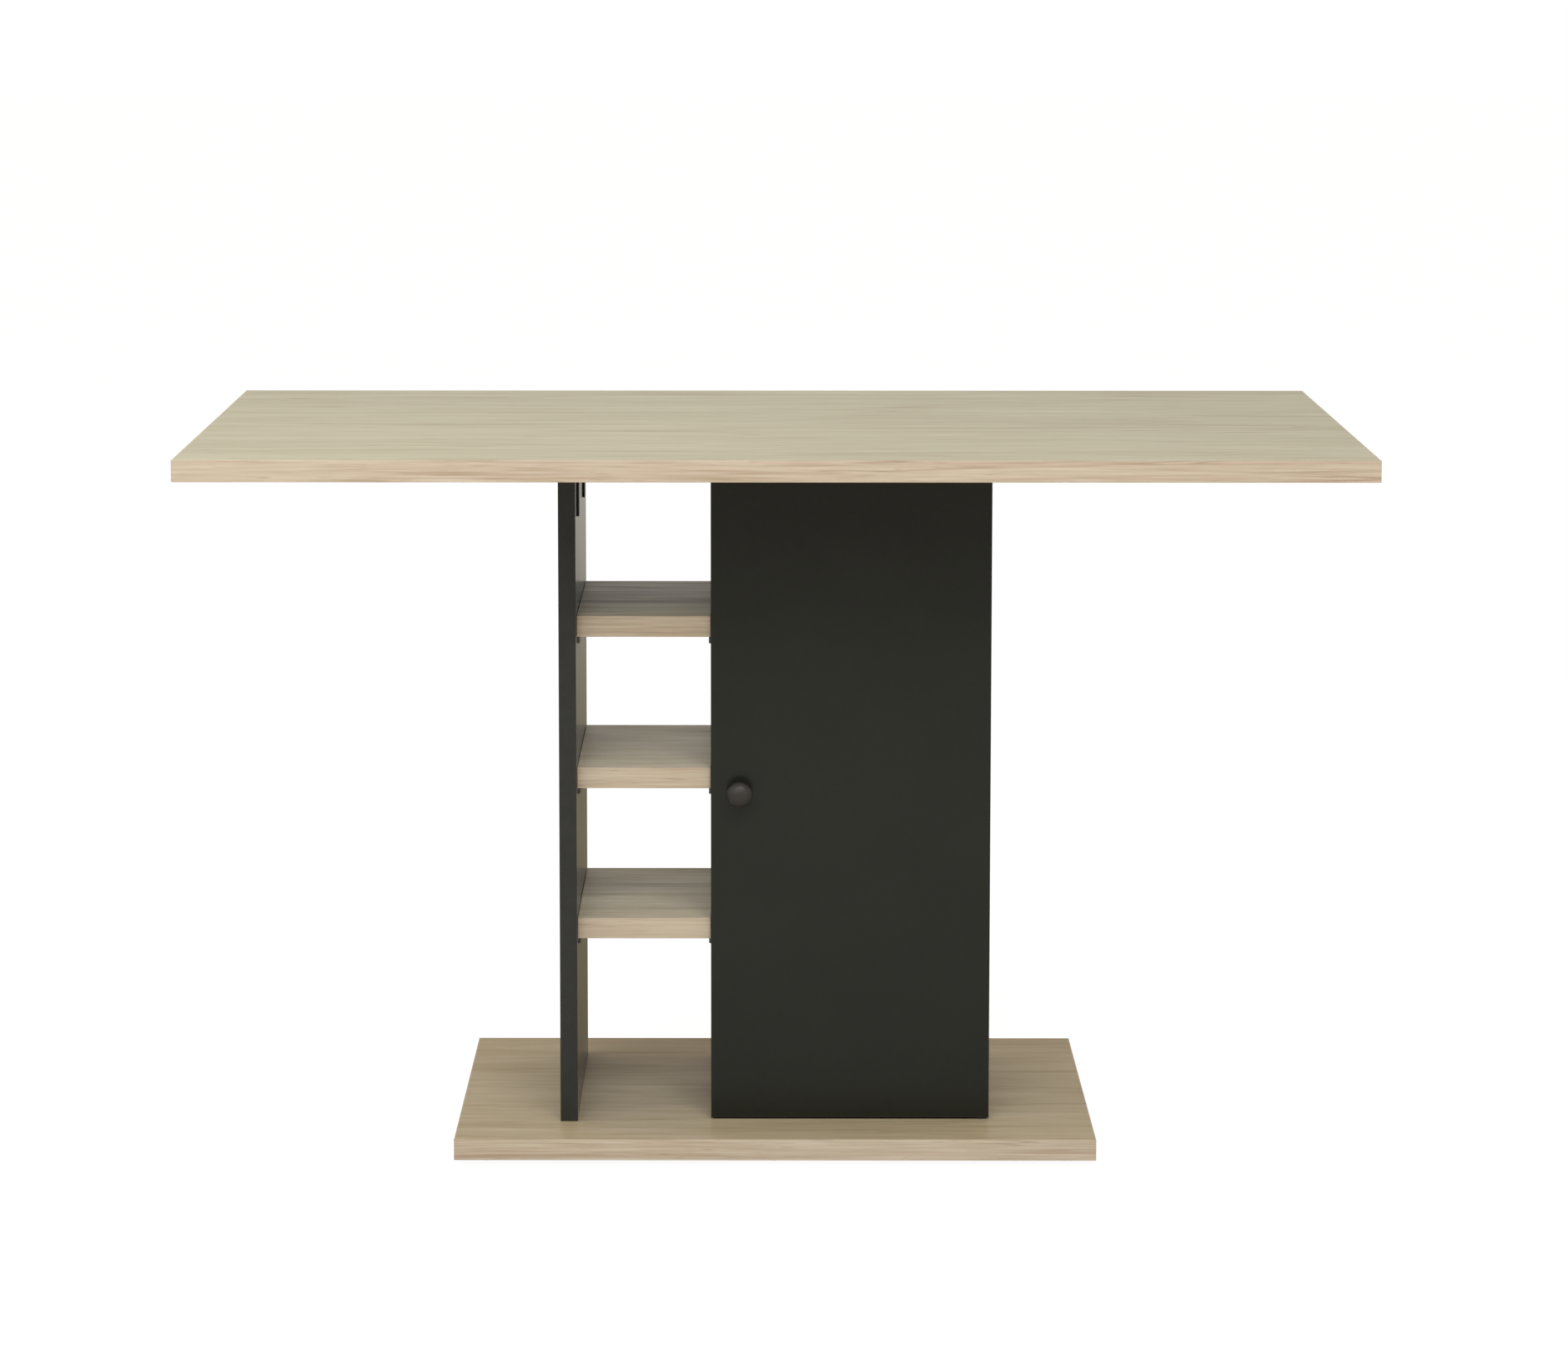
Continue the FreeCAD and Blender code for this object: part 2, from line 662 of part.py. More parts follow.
OPEN_FRONT = f"({COLUMN_FRONT} + open_shelf_setback)"
OPEN_BACK = f"({COLUMN_BACK} - open_shelf_setback)"
CABINET_SHELF_FRONT = f"({CABINET_FRONT} + cabinet_shelf_setback)"
CABINET_SHELF_BACK = f"({BACK_PANEL_FRONT} - shelf_end_gap)"
OPEN_WALLS = [("left", NICHE_LEFT, X), ("centre", NICHE_RIGHT, -X)]
OPEN_DROPS = ("upper_shelf_drop", "middle_shelf_drop", "lower_shelf_drop")
CABINET_WALLS = [("centre", CABINET_LEFT, X), ("right", CABINET_RIGHT, -X)]
CABINET_DROPS = ("upper_cabinet_drop", "lower_cabinet_drop")


def support_spots(walls, front, back, drops):
    """Spots of the supports under both ends of shelves, drilling the panels for their pegs."""
    spots = []
    for side, face, way in walls:
        for drop in drops:
            underside = f"({TOP_UNDERSIDE} - {drop})"
            peg_z = f"({underside} - support_height/2)"
            for y in near_ends(front, back, "support_inset"):
                spots.append(((face, y, underside), toward(Z, way)))
                panel_drills[side].append(drill((face, y, peg_z), -way, PEG_HOLE, PEG_HOLE_DEPTH))
    return spots


open_spots = support_spots(OPEN_WALLS, OPEN_FRONT, OPEN_BACK, OPEN_DROPS)
cabinet_spots = support_spots(CABINET_WALLS, CABINET_SHELF_FRONT, CABINET_SHELF_BACK, CABINET_DROPS)
keep(copies("open_shelf_supports", support, open_spots))
keep(copies("cabinet_shelf_supports", support, cabinet_spots))

# Open shelves, with edging in front and behind

OPEN_SIZE = ("(niche_width - 2*shelf_end_gap)", f"({OPEN_BACK} - {OPEN_FRONT})", "open_shelf_thickness")
for drop, level in zip(OPEN_DROPS, ("upper", "middle", "lower")):
    corner = (f"({NICHE_LEFT} + shelf_end_gap)", OPEN_FRONT, f"({TOP_UNDERSIDE} - {drop})")
    board_corner = (corner[0], f"({OPEN_FRONT} + oak_band)", corner[2])
    board_size = (OPEN_SIZE[0], f"({OPEN_SIZE[1]} - 2*oak_band)", OPEN_SIZE[2])
    keep(box(f"{level}_open_shelf", board_corner, board_size))
    keep(bands_round(f"{level}_open_shelf_edge_bands", corner, OPEN_SIZE, "oak_band", ("front", "back")))

# Cabinet shelves, with edging in front

CABINET_SIZE = (
    f"({CABINET_RIGHT} - {CABINET_LEFT} - 2*shelf_end_gap)",
    f"({CABINET_SHELF_BACK} - {CABINET_SHELF_FRONT})",
    "cabinet_shelf_thickness",
)
for drop, level in zip(CABINET_DROPS, ("upper", "lower")):
    corner = (f"({CABINET_LEFT} + shelf_end_gap)", CABINET_SHELF_FRONT, f"({TOP_UNDERSIDE} - {drop})")
    board_corner = (corner[0], f"({CABINET_SHELF_FRONT} + dark_band)", corner[2])
    board_size = (CABINET_SIZE[0], f"({CABINET_SIZE[1]} - dark_band)", CABINET_SIZE[2])
    keep(box(f"{level}_cabinet_shelf", board_corner, board_size))
    keep(bands_round(f"{level}_cabinet_shelf_edge_band", corner, CABINET_SIZE, "dark_band", ("front",)))

# Pivots: a pin in each end of the door and a collared socket in the board above or below

PIN_LENGTH = "(pivot_in_socket + door_clearance + pivot_in_door)"
COLLAR_HEIGHT = "(door_clearance - collar_play)"
SOCKET_FLOOR = "-(pivot_in_socket + collar_play)"
RUNNING_BORE = "(pivot_radius + running_fit)"
pivot_pin = turned("pivot_pin", [
    ("0", "0"),
    ("pivot_radius", "0"),
    ("pivot_radius", PIN_LENGTH),
    ("0", PIN_LENGTH),
])
round_edges(pivot_pin, "pivot_tip_round", circle_at("pivot_radius", "0"))
pivot_socket = turned("pivot_socket", [
    ("0", "-socket_depth"),
    ("socket_radius", "-socket_depth"),
    ("socket_radius", "0"),
    ("collar_radius", "0"),
    ("collar_radius", COLLAR_HEIGHT),
    (RUNNING_BORE, COLLAR_HEIGHT),
    (RUNNING_BORE, SOCKET_FLOOR),
    ("0", SOCKET_FLOOR),
])
PIVOTS = [
    ("lower", BASE_TOP, f"({BASE_TOP} - pivot_in_socket)", DOOR_FOOT, Z, base_drills),
    ("upper", TOP_UNDERSIDE, f"({TOP_UNDERSIDE} + pivot_in_socket)", DOOR_HEAD, -Z, top_drills),
]
pivot_drills = {}
for level, surface, pin_start, door_end, way, board_drills in PIVOTS:
    seat = (PIVOT_X, PIVOT_Y, surface)
    keep(copies(f"{level}_pivot_pin", pivot_pin, [((PIVOT_X, PIVOT_Y, pin_start), toward(way))]))
    keep(copies(f"{level}_pivot_socket", pivot_socket, [(seat, toward(way))]))
    pivot_drills[level] = drill((PIVOT_X, PIVOT_Y, door_end), way, PIVOT_HOLE, PIVOT_HOLE_DEPTH)
    board_drills.append(drill(seat, -way, SOCKET_HOLE, SOCKET_HOLE_DEPTH))

# Knob, its screw, and the strike plate on the back of the door

KNOB_EDGE = "(knob_rim_height + knob_rim_thickness)"
KNOB_REACH = "(knob_rim_height + knob_head_height)"
KNOB_SHOULDER = f"({KNOB_REACH} - knob_shoulder_drop)"
KNOB_BORE_DEPTH = "(knob_screw_bite + knob_bore_spare)"
KNOB_SCREW_END = "-(door_thickness + knob_screw_bite)"
knob = turned("knob", [
    (SCREW_HOLE, "0"),
    ("knob_foot_radius", "0"),
    ("knob_foot_radius", "knob_foot_thickness"),
    ("knob_neck_radius", "knob_neck_height"),
    ("knob_radius", "knob_rim_height"),
    ("knob_radius", KNOB_EDGE),
    ("knob_shoulder_radius", KNOB_SHOULDER),
    ("knob_crown_radius", KNOB_REACH),
    ("0", KNOB_REACH),
    ("0", KNOB_BORE_DEPTH),
    (SCREW_HOLE, KNOB_BORE_DEPTH),
])
round_edges(knob, "knob_edge_round", circle_at("knob_radius", KNOB_EDGE))
round_edges(knob, "knob_shoulder_round", circle_at("knob_shoulder_radius", KNOB_SHOULDER))
round_edges(knob, "knob_crown_round", circle_at("knob_crown_radius", KNOB_REACH))
round_edges(knob, "knob_rim_round", circle_at("knob_radius", "knob_rim_height"))
keep(copies("door_knob", knob, [((KNOB_X, DOOR_FRONT, KNOB_Z), toward(-Y))]))

knob_screw = turned("knob_screw_body", [
    ("0", KNOB_SCREW_END),
    ("screw_radius", KNOB_SCREW_END),
    ("screw_radius", "0"),
    ("screw_head_radius", "0"),
    ("screw_head_radius", "screw_head_height"),
    ("0", "screw_head_height"),
])
round_edges(knob_screw, "screw_head_round", circle_at("screw_head_radius", "screw_head_height"))
keep(copies("knob_screw", knob_screw, [((KNOB_X, DOOR_BACK, KNOB_Z), toward(Y))]))

strike = turned("strike", [
    ("0", "-strike_spike_length"),
    ("strike_spike_radius", "-strike_spike_length"),
    ("strike_spike_radius", "0"),
    ("strike_radius", "0"),
    ("strike_radius", "strike_thickness"),
    ("0", "strike_thickness"),
])
keep(copies("strike_plate", strike, [((CATCH_MIDDLE, DOOR_BACK, CATCH_Z), toward(Y))]))

# Door board and its edging

DOOR_WIDTH = f"({COLUMN_RIGHT} - {NICHE_RIGHT})"
DOOR_RISE = f"({DOOR_HEAD} - {DOOR_FOOT} - 2*dark_band)"
BOARD_FOOT = f"({DOOR_FOOT} + dark_band)"
door_drills = [
    pivot_drills["lower"],
    pivot_drills["upper"],
    drill((KNOB_X, DOOR_BACK, KNOB_Z), -Y, SCREW_HOLE, "(door_thickness + drill_overrun)"),
    drill((CATCH_MIDDLE, DOOR_BACK, CATCH_Z), -Y, SPIKE_HOLE, SPIKE_HOLE_DEPTH),
]
door_blank = box(
    "door_blank",
    (f"({NICHE_RIGHT} + dark_band)", DOOR_FRONT, BOARD_FOOT),
    (f"({DOOR_WIDTH} - 2*dark_band)", "door_thickness", DOOR_RISE),
)
keep(cut("door_board", door_blank, door_drills))

side_size = ("dark_band", "door_thickness", DOOR_RISE)
end_size = (DOOR_WIDTH, "door_thickness", "dark_band")
left_corner = (NICHE_RIGHT, DOOR_FRONT, BOARD_FOOT)
right_corner = (f"({COLUMN_RIGHT} - dark_band)", DOOR_FRONT, BOARD_FOOT)
lower_corner = (NICHE_RIGHT, DOOR_FRONT, DOOR_FOOT)
upper_corner = (NICHE_RIGHT, DOOR_FRONT, f"({DOOR_HEAD} - dark_band)")
lower_strip = band("door_lower_strip", lower_corner, end_size, -Z)
upper_strip = band("door_upper_strip", upper_corner, end_size, Z)
keep(group("door_edge_bands", [
    band("door_left_band", left_corner, side_size, -X),
    band("door_right_band", right_corner, side_size, X),
    cut("door_lower_band", lower_strip, [pivot_drills["lower"]]),
    cut("door_upper_band", upper_strip, [pivot_drills["upper"]]),
]))

# Magnetic catch on the centre panel, inside the cabinet

catch_blank = extruded("catch_blank", "XZ_Plane", [
    ("0", f"(-{CATCH_LENGTH}/2)"),
    ("catch_ear", f"(-{CATCH_LENGTH}/2)"),
    ("catch_ear", "-catch_block/2"),
    ("catch_height", "-catch_block/2"),
    ("catch_height", "catch_block/2"),
    ("catch_ear", "catch_block/2"),
    ("catch_ear", f"({CATCH_LENGTH}/2)"),
    ("0", f"({CATCH_LENGTH}/2)"),
], "catch_depth")
CATCH_Y = f"({CATCH_FRONT} + catch_lip + catch_depth/2)"
CATCH_SEAT = f"({CABINET_LEFT} + catch_ear)"
CATCH_SCREW_REACH = "(catch_block/2 + catch_ear_length/2)"
place(catch_blank, (CABINET_LEFT, CATCH_Y, CATCH_Z))
magnet = keep(box(
    "catch_magnet",
    (f"({CATCH_MIDDLE} - magnet_height/2)", CATCH_FRONT, f"({CATCH_Z} - magnet_length/2)"),
    ("magnet_height", "magnet_depth", "magnet_length"),
))
catch_tools = [magnet]
catch_screw_spots = []
for z in (f"({CATCH_Z} - {CATCH_SCREW_REACH})", f"({CATCH_Z} + {CATCH_SCREW_REACH})"):
    catch_screw_spots.append(((CATCH_SEAT, CATCH_Y, z), toward(X)))
    catch_tools.append(drill((CATCH_SEAT, CATCH_Y, z), -X, SCREW_HOLE, "(catch_ear + drill_overrun)"))
    panel_drills["centre"].append(drill((CABINET_LEFT, CATCH_Y, z), -X, SCREW_HOLE, "screw_reach"))
keep(cut("catch_housing", catch_blank, catch_tools))
keep(copies("catch_screws", screw, catch_screw_spots))

# Glides nailed under the base board

glide = turned("glide", [
    ("0", "-glide_height"),
    ("glide_radius", "-glide_height"),
    ("glide_radius", "0"),
    ("glide_nail_radius", "0"),
    ("glide_nail_radius", "glide_nail_length"),
    ("0", "glide_nail_length"),
])
round_edges(glide, "glide_round", circle_at("glide_radius", "-glide_height"))
left_x, right_x = near_ends("(-base_length/2)", "(base_length/2)", "glide_inset")
glide_spots = []
for x in (left_x, "0", right_x):
    for y in near_ends("(-base_width/2)", "(base_width/2)", "glide_inset"):
        glide_spots.append(((x, y, "glide_height"), toward(Z)))
        base_drills.append(drill((x, y, "glide_height"), Z, NAIL_HOLE, NAIL_HOLE_DEPTH))
keep(copies("glides", glide, glide_spots))

# Tabletop and base board, drilled for what they carry, and their edging

SLABS = [
    ("tabletop", "top", TOP_UNDERSIDE, top_drills),
    ("base", "base", "glide_height", base_drills),
]
for name, stem, underside, drills in SLABS:
    corner = (f"(-{stem}_length/2)", f"(-{stem}_width/2)", underside)
    size = (f"{stem}_length", f"{stem}_width", f"{stem}_thickness")
    board_corner = (f"({corner[0]} + oak_band)", f"({corner[1]} + oak_band)", underside)
    board_size = (f"({size[0]} - 2*oak_band)", f"({size[1]} - 2*oak_band)", size[2])
    keep(cut(f"{name}_board", box(f"{name}_blank", board_corner, board_size), drills))
    sides = ("front", "back", "left", "right")
    keep(bands_round(f"{name}_edge_bands", corner, size, "oak_band", sides))

# Upright panels, drilled for what they carry, and their edging

UPRIGHTS = [
    ("left", COLUMN_LEFT, COLUMN_FRONT),
    ("centre", NICHE_RIGHT, CABINET_FRONT),
    ("right", CABINET_RIGHT, CABINET_FRONT),
]
for side, x, front in UPRIGHTS:
    corner = (x, front, PANEL_FOOT)
    size = ("panel_thickness", f"({COLUMN_BACK} - {front})", "panel_height")
    board_corner = (x, f"({front} + dark_band)", PANEL_FOOT)
    board_size = ("panel_thickness", f"({size[1]} - 2*dark_band)", "panel_height")
    blank = box(f"{side}_blank", board_corner, board_size)
    keep(cut(f"{side}_panel", blank, panel_drills[side]))
    keep(bands_round(f"{side}_panel_edge_bands", corner, size, "dark_band", ("front", "back")))

back_blank = box(
    "back_blank",
    (CABINET_LEFT, BACK_PANEL_FRONT, PANEL_FOOT),
    (f"({CABINET_RIGHT} - {CABINET_LEFT})", "panel_thickness", "panel_height"),
)
keep(cut("back_panel", back_blank, panel_drills["back"]))

# Every object is sound before anything is written

doc.recompute()
for thing in doc.Objects:
    if "Invalid" in thing.State or "Error" in thing.State:
        raise RuntimeError(f"{thing.Label} failed: {thing.State}")
for piece in nodes:
    if piece.Shape.isNull() or not piece.Shape.isValid() or not piece.Shape.Solids:
        raise RuntimeError(f"{piece.Label} has no sound shape")

os.makedirs("parts", exist_ok=True)
for piece in nodes:
    piece.Shape.exportStep(f"parts/{piece.Label}.step")
    print(f"{piece.Label}: {len(piece.Shape.Solids)} solids, {piece.Shape.Volume:.0f} mm3")
print(f"{len(nodes)} pieces")
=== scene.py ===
"""Looks of the table with shelf: finishes, detailed screws, studio light and the photograph's view.

Metres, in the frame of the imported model: X to the right, Y to the back, Z up, the floor at zero.
"""

import json
import math

import bmesh
import bpy
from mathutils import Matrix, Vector


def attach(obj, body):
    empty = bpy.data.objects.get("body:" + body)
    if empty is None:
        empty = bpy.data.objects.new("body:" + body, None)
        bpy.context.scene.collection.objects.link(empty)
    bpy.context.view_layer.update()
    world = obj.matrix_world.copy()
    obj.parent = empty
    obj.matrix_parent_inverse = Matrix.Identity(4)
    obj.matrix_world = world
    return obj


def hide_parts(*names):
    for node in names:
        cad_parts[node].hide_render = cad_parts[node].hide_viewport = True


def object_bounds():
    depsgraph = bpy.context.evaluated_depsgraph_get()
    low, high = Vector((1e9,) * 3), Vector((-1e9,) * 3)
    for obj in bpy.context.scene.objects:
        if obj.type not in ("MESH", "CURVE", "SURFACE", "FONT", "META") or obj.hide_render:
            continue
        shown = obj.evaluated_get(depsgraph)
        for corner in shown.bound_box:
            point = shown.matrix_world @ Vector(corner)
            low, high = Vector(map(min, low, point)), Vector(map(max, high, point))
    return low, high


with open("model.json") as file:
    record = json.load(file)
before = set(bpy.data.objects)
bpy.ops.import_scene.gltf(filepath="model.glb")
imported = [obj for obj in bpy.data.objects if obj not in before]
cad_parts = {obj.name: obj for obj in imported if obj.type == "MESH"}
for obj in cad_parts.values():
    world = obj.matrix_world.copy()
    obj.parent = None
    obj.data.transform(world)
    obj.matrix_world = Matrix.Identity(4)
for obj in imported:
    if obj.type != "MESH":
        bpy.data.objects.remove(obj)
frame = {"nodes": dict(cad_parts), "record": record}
cad_low, cad_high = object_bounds()

MM = 0.001
Z = Vector((0, 0, 1))


# Colours

FULL_LEVEL = 255
SRGB_KNEE = 0.04045
SRGB_SLOPE = 12.92
SRGB_OFFSET = 0.055
SRGB_POWER = 2.4


def srgb(red, green, blue):
    """A colour written as it looks on screen, from 0 to 255, as linear light."""
    def linear(level):
        share = level / FULL_LEVEL
        if share <= SRGB_KNEE:
            return share / SRGB_SLOPE
        return ((share + SRGB_OFFSET) / (1 + SRGB_OFFSET)) ** SRGB_POWER
    return (linear(red), linear(green), linear(blue), 1)


# Wood decors, each from its light tone through its middle and dark ones to its lines
BOARD_OAK = (srgb(197, 190, 163), srgb(183, 176, 149), srgb(164, 154, 125), srgb(142, 114, 90))
# Painted light: the base board's copy of the oak is lighter and warmer, for the warm light that falls on
# it
BASE_OAK_PAINTED_LIGHT = (srgb(207, 191, 163), srgb(194, 177, 147), srgb(174, 154, 123), srgb(140, 123, 95))
# Painted light: the shelves' copy of the oak is lighter, to offset the shade under the tabletop
SHELF_OAK_PAINTED_LIGHT = (srgb(227, 214, 185), srgb(211, 198, 168), srgb(189, 173, 142), srgb(138, 124, 97))
EDGE_OAK = (srgb(222, 206, 185), srgb(209, 191, 169), srgb(192, 169, 144), srgb(158, 126, 100))
ANTHRACITE = srgb(37, 38, 33)
ANTHRACITE_LIGHT = srgb(57, 57, 54)
ANTHRACITE_EDGE = srgb(49, 49, 47)
ANTHRACITE_DARK = srgb(33, 34, 29)
BLACK_COAT = srgb(16, 16, 16)
BLACK_COAT_LIGHT = srgb(25, 25, 25)
ZINC = srgb(190, 191, 190)
ZINC_DARK = srgb(150, 152, 153)
BLACK_PLASTIC = srgb(34, 34, 34)
BLACK_PLASTIC_LIGHT = srgb(46, 46, 46)
GREY_PLASTIC = srgb(112, 110, 104)
GREY_PLASTIC_LIGHT = srgb(128, 126, 120)
BEECH_LIGHT = srgb(214, 178, 138)
BEECH_DARK = srgb(186, 146, 104)
FERRITE = srgb(70, 70, 72)
FERRITE_LIGHT = srgb(92, 92, 94)
KNOB_LACQUER = srgb(42, 37, 33)
KNOB_LACQUER_LIGHT = srgb(48, 43, 39)
WHITE = (1, 1, 1, 1)


# Node graphs

def add(tree, kind, inputs, **settings):
    """A node with its settings, and its inputs set to values or joined to other nodes' sockets."""
    node = tree.nodes.new(kind)
    for name, value in settings.items():
        setattr(node, name, value)
    for name, value in inputs.items():
        if isinstance(value, bpy.types.NodeSocket):
            tree.links.new(value, node.inputs[name])
        else:
            node.inputs[name].default_value = value
    return node


def new_finish(name, roughness, ior, specular=0.5):
    """A material with one shader, and its tree."""
    material = bpy.data.materials.new(name)
    material.use_nodes = True
    tree = material.node_tree
    tree.nodes.clear()
    shader = add(tree, "ShaderNodeBsdfPrincipled", {
        "Roughness": roughness, "IOR": ior, "Specular IOR Level": specular})
    add(tree, "ShaderNodeOutputMaterial", {"Surface": shader.outputs["BSDF"]})
    return material, tree, shader


def place_of(tree):
    """The point on the piece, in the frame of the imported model."""
    return add(tree, "ShaderNodeTexCoord", {}).outputs["Object"]


def noise(tree, point, scale, detail=2, roughness=0.5, distortion=0):
    """Noise whose scale differs by axis, in cycles to the metre."""
    stretched = add(tree, "ShaderNodeMapping", {"Vector": point, "Scale": scale})
    made = add(tree, "ShaderNodeTexNoise", {
        "Vector": stretched.outputs["Vector"],
        "Scale": 1,
        "Detail": detail,
        "Roughness": roughness,
        "Distortion": distortion,
    })
    return made.outputs["Fac"]


def ramp(tree, level, stops):
    """A run of colours along a level from 0 to 1."""
    node = add(tree, "ShaderNodeValToRGB", {"Fac": level})
    points = node.color_ramp.elements
    while len(points) < len(stops):
        points.new(1)
    for point, (position, colour) in zip(points, stops):
        point.position = position
        point.color = colour
    return node.outputs["Color"]


def math_node(tree, operation, first, second):
    """One operation on two levels."""
    return add(tree, "ShaderNodeMath", {0: first, 1: second}, operation=operation).outputs["Value"]


def spread(tree, level, low, high, new_low, new_high):
    """A level moved from one range to another, held at the ends."""
    return add(tree, "ShaderNodeMapRange", {
        "Value": level,
        "From Min": low,
        "From Max": high,
        "To Min": new_low,
        "To Max": new_high,
    }).outputs["Result"]


def mixed(tree, share, first, second):
    """Two colours mixed by a share."""
    node = add(tree, "ShaderNodeMix", {"Factor": share}, data_type="RGBA")
    for socket, value in zip([s for s in node.inputs if s.type == "RGBA"], (first, second)):
        if isinstance(value, bpy.types.NodeSocket):
            tree.links.new(value, socket)
        else:
            socket.default_value = value
    return next(s for s in node.outputs if s.type == "RGBA")


def bump(tree, shader, height, depth, strength):
    """A relief of a real depth on the shader's surface."""
    node = add(tree, "ShaderNodeBump", {"Height": height, "Distance": depth, "Strength": strength})
    tree.links.new(node.outputs["Normal"], shader.inputs["Normal"])


# Wood decor: scales in cycles to the metre, along the grain and across it

FIGURE_GRAIN = (0.9, 9)
BOARD_STREAK_GRAIN = (4.5, 52)
SHORT_STREAK_GRAIN = (6.5, 46)
EDGE_STREAK_GRAIN = (2.6, 52)
FIBRE_GRAIN = (11, 420)
VEIN_GRAIN = (1.0, 28)
EDGE_VEIN_GRAIN = (3.2, 140)
BREAK_GRAIN = (3, 24)
BOARD_DASH_GRAIN = (15, 120)
SHORT_DASH_GRAIN = (12, 250)
EDGE_DASH_GRAIN = (26, 420)
PORE_GRAIN = (26, 800)

# Levels of noise between which a mark fades in
MIDWAY = 0.5
STREAK_LEVELS = (0.3, 0.7)
BREAK_LEVELS = (0.42, 0.6)
DASH_LEVELS = (0.66, 0.76)
PORE_LEVELS = (0.64, 0.74)

PORE_SHARE = 0.3
FIBRE_RELIEF_SHARE = 0.5
SIDEWAYS_FACING = 0.7
OAK_ROUGHNESS = 0.44
OAK_IOR = 1.45
OAK_RELIEF = 0.06 * MM

# How strongly each kind of mark shows: shares of the tone, then of the line colour
BOARD_MARKS = {
    "tone_shares": (0.3, 0.38, 0.32), "contrast": 0.36, "gloss_range": 0.05,
    "streak_grain": BOARD_STREAK_GRAIN,
    "vein_grain": VEIN_GRAIN, "vein_width": 0.03, "vein_share": 0.3,
    "dash_grain": BOARD_DASH_GRAIN, "dash_share": 0.65}
SHELF_MARKS = {
    "tone_shares": (0.26, 0.46, 0.28), "contrast": 0.36, "gloss_range": 0.06,
    "streak_grain": SHORT_STREAK_GRAIN,
    "vein_grain": VEIN_GRAIN, "vein_width": 0.03, "vein_share": 0.3,
    "dash_grain": SHORT_DASH_GRAIN, "dash_share": 0.45}
UPPER_MARKS = SHELF_MARKS | {"contrast": 0.28, "vein_width": 0.05, "vein_share": 0.75, "dash_share": 0.5}
BASE_MARKS = {
    "tone_shares": (0.26, 0.48, 0.26), "contrast": 0.4, "gloss_range": 0.05,
    "streak_grain": SHORT_STREAK_GRAIN,
    "vein_grain": VEIN_GRAIN, "vein_width": 0.03, "vein_share": 0.3,
    "dash_grain": SHORT_DASH_GRAIN, "dash_share": 0.45}
EDGE_MARKS = {
    "tone_shares": (0.2, 0.35, 0.45), "contrast": 0.28, "gloss_range": 0.05,
    "streak_grain": EDGE_STREAK_GRAIN,
    "vein_grain": EDGE_VEIN_GRAIN, "vein_width": 0.05, "vein_share": 0.5,
    "dash_grain": EDGE_DASH_GRAIN, "dash_share": 0.4}


def grain_noise(tree, point, grain, detail, roughness=0.5, distortion=0):
    """Noise drawn out along X, as the grain of a board."""
    along, across = grain
    return noise(tree, point, (along, across, across), detail, roughness, distortion)


def turned_to_edge(tree):
    """The point on an edging strip with its run along X, also where the strip itself runs along Y."""
    point = add(tree, "ShaderNodeSeparateXYZ", {"Vector": place_of(tree)})
    facing = add(tree, "ShaderNodeSeparateXYZ", {
        "Vector": add(tree, "ShaderNodeNewGeometry", {}).outputs["True Normal"]})
    sideways = math_node(
        tree, "GREATER_THAN", math_node(tree, "ABSOLUTE", facing.outputs["X"], 0), SIDEWAYS_FACING)
    straight = math_node(tree, "SUBTRACT", 1, sideways)
    run = math_node(
        tree, "ADD",
        math_node(tree, "MULTIPLY", point.outputs["X"], straight),
        math_node(tree, "MULTIPLY", point.outputs["Y"], sideways))
    depth = math_node(
        tree, "ADD",
        math_node(tree, "MULTIPLY", point.outputs["Y"], straight),
        math_node(tree, "MULTIPLY", point.outputs["X"], sideways))
    turned = add(tree, "ShaderNodeCombineXYZ", {"X": run, "Y": depth, "Z": point.outputs["Z"]})
    return turned.outputs["Vector"]


def weighed(tree, levels, shares):
    """Levels added up, each times its share."""
    total = 0
    for level, share in zip(levels, shares):
        total = math_node(tree, "ADD", total, math_node(tree, "MULTIPLY", level, share))
    return total


def veins(tree, point, grain, width):
    """Thin lines along the grain, broken into lengths."""
    ridge = grain_noise(tree, point, grain, detail=2, distortion=0.7)
    off_line = math_node(tree, "ABSOLUTE", math_node(tree, "SUBTRACT", ridge, MIDWAY), 0)
    on_line = spread(tree, off_line, 0, width, 1, 0)
    lengths = grain_noise(tree, point, BREAK_GRAIN, detail=2)
    return math_node(tree, "MULTIPLY", on_line, spread(tree, lengths, *BREAK_LEVELS, 0, 1))


